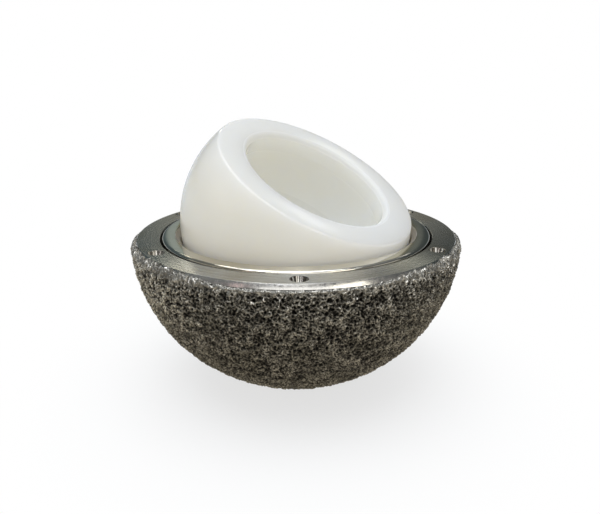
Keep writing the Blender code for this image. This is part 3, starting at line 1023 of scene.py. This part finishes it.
# Painted shade and highlight: a dark floor, and dark walls with bright painted streaks.
painted_streaks = noise(tree, round_hole, 1.0 / 3.6, 1.0)["Fac"]
wall_painted_light = blend_color(tree, ramp(tree, painted_streaks, 0.51, 0.59), *DIMPLE_WALL_PAINTED_SHADE_AND_STREAKS)
tone = blend_color(tree, in_hole, tone, DIMPLE_FLOOR_PAINTED_SHADE)
tone = blend_color(tree, on_wall, tone, wall_painted_light)

bump = bump_in(tree, marks, 0.25, 0.0004 * MM)
bump = bump_in(tree, mottle, product(tree, on_bevel, 0.35), 0.02 * MM, below=bump)
tangent = put(tree, "ShaderNodeTangent", direction_type="RADIAL", axis="Z").outputs[0]
fill(tree, shader, {
    "Base Color": tone, "Metallic": 1.0, "Roughness": rough, "Normal": bump, "Tangent": tangent,
    "Anisotropic": ramp(tree, on_bevel, 0.0, 1.0, 0.85, 0.0), "Anisotropic Rotation": 0.25,
})
print(titanium.name, len(tree.nodes), "nodes")

# %% [markdown]
# The liner is polished until its marks hardly show, so it is a mirror with a trace of rings in its roughness.
# Cobalt-chrome is slightly warmer than steel. Its front mirrors the side of the ball, which tints it,
# and sectors of painted reflection stand for that. The socket is duller, and painted darker as shade under
# the ball.

# %% Polished liner
LINER_TONES = ((0.80, 0.775, 0.70), (0.74, 0.715, 0.64))
LINER_PAINTED_REFLECTIONS = (
    (-31.0, 26.0, (0.58, 0.545, 0.455)),
    (0.0, 10.0, (0.95, 0.93, 0.86)),
)
SOCKET_PAINTED_SHADE = (0.42, 0.385, 0.34)
SOCKET_ROUGH = 0.42

chrome, tree, shader, place = new_material("polished_cobalt_chrome_look")
marks = marks_in(tree, place, 0.05 * MM, 1.5)
reach, parts = axis_distance(tree, place)[:2]
cloud = noise(tree, place, 4.0 * MM, 3.0)["Fac"]
tone = blend_color(tree, ramp(tree, cloud, 0.4, 0.7), *LINER_TONES)
# Painted reflection: these sectors stand for the side of the ball mirrored in the front.
tone = paint_reflection_sectors(tree, parts, tone, LINER_PAINTED_REFLECTIONS)
inside = product(
    tree,
    ramp(tree, reach, lip_radius + 0.05 * MM, lip_radius),
    ramp(tree, parts["Z"], liner_top - 0.03 * MM, liner_top - 0.10 * MM),
)
# Painted shade: the socket under the ball is painted darker.
tone = blend_color(tree, inside, tone, SOCKET_PAINTED_SHADE)
rough = blend_number(tree, inside, ramp(tree, marks, *MARK_SPAN, 0.05, 0.11), SOCKET_ROUGH)
bump = bump_in(tree, marks, 0.3, 0.001 * MM)
fill(tree, shader, {"Base Color": tone, "Metallic": 1.0, "Roughness": rough, "Normal": bump})
print(chrome.name, len(tree.nodes), "nodes")

# %% [markdown]
# Light goes some millimetres into polyethylene and comes out softened, so the ball has no hard shadows.
# Subsurface scattering with that reach gives it, where plain white paint would look like chalk.
# The marks run round the ball's own axis, so a mapping node first turns the coordinates into its tilt.
# The rounded mouth is left matt by the last cut and painted darker, and the bore is painted a trace darker,
# both as painted shade.

# %% Plastic
PLASTIC_TONES = ((0.905, 0.900, 0.858), (0.935, 0.930, 0.893))
MOUTH_PAINTED_SHADE = (0.83, 0.83, 0.805)
MOUTH_ROUGH = 0.55
BORE_PAINTED_SHADE = (0.89, 0.887, 0.85)
SCATTER_REACH = 7.0 * MM
SCATTER_COLOR = (1.0, 0.97, 0.88)
mouth_edge = MOUTH_RADIUS + MOUTH_ROUND_OUT

plastic, tree, shader, place = new_material("polyethylene_look")
turn_back = {"Vector": place, "Location": ball_centre, "Rotation": insert_place}
own_place = put(tree, "ShaderNodeMapping", turn_back, vector_type="TEXTURE").outputs[0]
own_reach, own_parts = axis_distance(tree, own_place)[:2]
marks = marks_in(tree, own_place, 0.10 * MM, 2.0)
on_mouth = product(
    tree,
    ramp(tree, own_reach, mouth_edge + 0.3 * MM, mouth_edge),
    ramp(tree, own_reach, MOUTH_RADIUS + 0.04 * MM, MOUTH_RADIUS + 0.10 * MM),
)
in_bore = product(
    tree,
    ramp(tree, own_reach, HEAD_BORE_RADIUS + 0.4 * MM, HEAD_BORE_RADIUS + 0.2 * MM),
    ramp(tree, own_parts["Z"], ridge_height + 0.2 * MM, ridge_height - 0.4 * MM),
)
rough = blend_number(tree, on_mouth, ramp(tree, marks, *MARK_SPAN, 0.12, 0.19), MOUTH_ROUGH)
tone = blend_color(tree, noise(tree, place, 9.0 * MM, 2.0)["Fac"], *PLASTIC_TONES)
# Painted shade: the mouth rounding and the bore are painted darker than the rest of the ball.
tone = blend_color(tree, on_mouth, tone, MOUTH_PAINTED_SHADE)
tone = blend_color(tree, in_bore, tone, BORE_PAINTED_SHADE)
bump = bump_in(tree, marks, 0.25, 0.0004 * MM)
fill(tree, shader, {
    "Base Color": tone, "Roughness": rough, "Normal": bump, "Subsurface Weight": 1.0,
    "Subsurface Radius": SCATTER_COLOR, "Subsurface Scale": SCATTER_REACH, "IOR": 1.53,
})
print(plastic.name, len(tree.nodes), "nodes")

# %% [markdown]
# The foam needs strong contrast: bright struts over pores that are nearly black.
# The stored depth darkens the pores of the mesh as painted shade, and a finer net of pores, painted dark the
# same way, exists only in the material.
# Struts are painted paler near the rim, most of all on its edge, and on the left, and a little darker low
# down, as painted light and shade; on the left and low down the pores are painted dark sooner.

# %% Foam: tones of struts and pores
STRUT_TONES = ((0.17, 0.160, 0.136), (0.72, 0.675, 0.575))
STRUT_CLOUD = (0.22, 0.205, 0.155)
STRUT_PAINTED_LIGHT = (0.48, 0.46, 0.41)
EDGE_PAINTED_HIGHLIGHT = (0.62, 0.60, 0.545)
PORE_PAINTED_SHADE = (0.010, 0.009, 0.007)
GRAIN_SIZE = 0.25 * MM
TWIST_SIZE = 0.3 * MM
TWIST = 0.30 * MM
FINE_PORE = 0.52 * MM
FINE_PORE_PAINTED_SHADE = 0.90

foam, tree, shader, place = new_material("porous_titanium_look")
pit = put(tree, "ShaderNodeAttribute", attribute_name="pit").outputs["Fac"]
grain = noise(tree, place, GRAIN_SIZE, 3.0)["Fac"]
cloud = noise(tree, place, 5.0 * MM, 3.0)["Fac"]
twist = vector_step(tree, "SUBTRACT", noise(tree, place, TWIST_SIZE, 1.0)["Color"], NOISE_MIDDLE)
twisted = vector_step(tree, "ADD", place, vector_step(tree, "SCALE", twist, scale=TWIST))
inputs = {"Vector": twisted, "Scale": 1.0 / FINE_PORE, "Randomness": 1.0}
fine = put(tree, "ShaderNodeTexVoronoi", inputs, feature="DISTANCE_TO_EDGE").outputs["Distance"]
hollow = ramp(tree, fine, 0.06, 0.28)

parts = put(tree, "ShaderNodeSeparateXYZ", {0: place}).outputs
below_rim = calculate(tree, "SUBTRACT", rim_height, parts["Z"])
near_rim = ramp(tree, below_rim, 9.0 * MM, 1.0 * MM)
at_edge = ramp(tree, below_rim, 2.4 * MM, 0.8 * MM)
low_painted_shade = ramp(tree, below_rim, 9.0 * MM, 21.0 * MM)
left_painted_light_and_shade = ramp(tree, parts["X"], -11.0 * MM, -24.0 * MM)
left_painted_light_and_shade = product(tree, left_painted_light_and_shade, ramp(tree, below_rim, 15.0 * MM, 4.0 * MM))

strut = blend_color(tree, ramp(tree, grain, 0.38, 0.62), *STRUT_TONES)
strut = blend_color(tree, ramp(tree, cloud, 0.4, 0.7, 0.0, 0.6), strut, STRUT_CLOUD)
# Painted light and shade: struts are painted paler near the rim, on its edge and on the left, and darker low
# down.
strut = blend_color(tree, product(tree, near_rim, 0.5), strut, STRUT_PAINTED_LIGHT)
level = calculate(tree, "MULTIPLY_ADD", left_painted_light_and_shade, 1.25, 1.0)
level = calculate(tree, "MULTIPLY_ADD", low_painted_shade, -0.06, level)
strut = blend_color(tree, at_edge, vector_step(tree, "SCALE", strut, scale=level), EDGE_PAINTED_HIGHLIGHT)
deep_end = calculate(tree, "MULTIPLY_ADD", calculate(tree, "MAXIMUM", left_painted_light_and_shade, low_painted_shade), -0.13, 0.58)
# Painted shade: the pores of the mesh and the finer net of the material are painted nearly black.
fine_pore_shade = product(tree, hollow, FINE_PORE_PAINTED_SHADE)
dark = calculate(tree, "MAXIMUM", ramp(tree, pit, 0.07, deep_end), fine_pore_shade)
dark = product(tree, dark, ramp(tree, at_edge, 0.0, 1.0, 1.0, 0.6))
tone = blend_color(tree, dark, strut, PORE_PAINTED_SHADE)
print("pores of", round(FINE_PORE / MM, 2), "mm in the material")

# %% [markdown]
# Tiny facets of the struts flash where they happen to face a lamp, most of all near the rim.
# Painted highlights stand for them: noise picks spots out and makes them smoother and paler, and a few also
# glow a little as painted glints, because a flash smaller than a pixel would otherwise be averaged away.

# %% Foam: glints and relief
GLINT_PAINTED_HIGHLIGHT = (0.95, 0.93, 0.88)
GLINT_ROUGH = 0.16
SPARK_SIZE = 0.55 * MM
SPARK_COLOR = (1.0, 0.97, 0.92)
SPARK_GLOW = 0.55

rough = calculate(tree, "MULTIPLY_ADD", near_rim, -0.10, ramp(tree, grain, *MARK_SPAN, 0.28, 0.55))
spark_zone = ramp(tree, below_rim, 6.0 * MM, 1.5 * MM)
# Painted highlights and glow: these sparks and glints are painted by noise, not reflected.
spark = product(tree, spark_zone, ramp(tree, noise(tree, twisted, SPARK_SIZE, 1.0)["Fac"], 0.60, 0.66))
to_side = ramp(tree, calculate(tree, "ABSOLUTE", parts["X"]), 4.0 * MM, 18.0 * MM, 0.25, 1.0)
spark_painted_glow = product(tree, spark, to_side, ramp(tree, dark, 0.30, 0.05))
glint = product(tree, near_rim, ramp(tree, grain, 0.56, 0.64))
glint = calculate(tree, "MAXIMUM", glint, spark)
glint = product(tree, glint, ramp(tree, dark, 0.45, 0.10))
tone = blend_color(tree, glint, tone, GLINT_PAINTED_HIGHLIGHT)
rough = blend_number(tree, glint, rough, GLINT_ROUGH)
bump = bump_in(tree, hollow, 0.8, 0.10 * MM, invert=True)
bump = bump_in(tree, grain, 0.7, 0.05 * MM, below=bump)
fill(tree, shader, {
    "Base Color": tone, "Metallic": 0.85, "Roughness": rough, "Normal": bump,
    "Emission Color": blend_color(tree, spark_painted_glow, BLACK, SPARK_COLOR), "Emission Strength": SPARK_GLOW,
})
print(foam.name, len(tree.nodes), "nodes")

# %% [markdown]
# Last, each piece gets its material and is handed to the frame.
# It rides on the body that moves it and stands for one node of the solid model, which is hidden.
# The ball alone is on the moving body, so only it tilts in the other poses.

# %% Hand the pieces to the frame
DRESS = [
    (shell, "cup", "outer_shell", "turned_titanium", titanium),
    (liner, "cup", "metal_liner", "polished_cobalt_chrome", chrome),
    (insert, "insert", "polyethylene_insert", "polyethylene", plastic),
]
DRESS += [(band, "cup", "porous_coating", "porous_titanium", foam) for band in bands]
for piece, body, node_name, slot_name, look in DRESS:
    piece.data.materials.clear()
    piece.data.materials.append(look)
    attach(piece, body)
    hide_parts(node_name)
    piece.data.calc_loop_triangles()
    print(piece.name, len(piece.data.loop_triangles), "triangles")
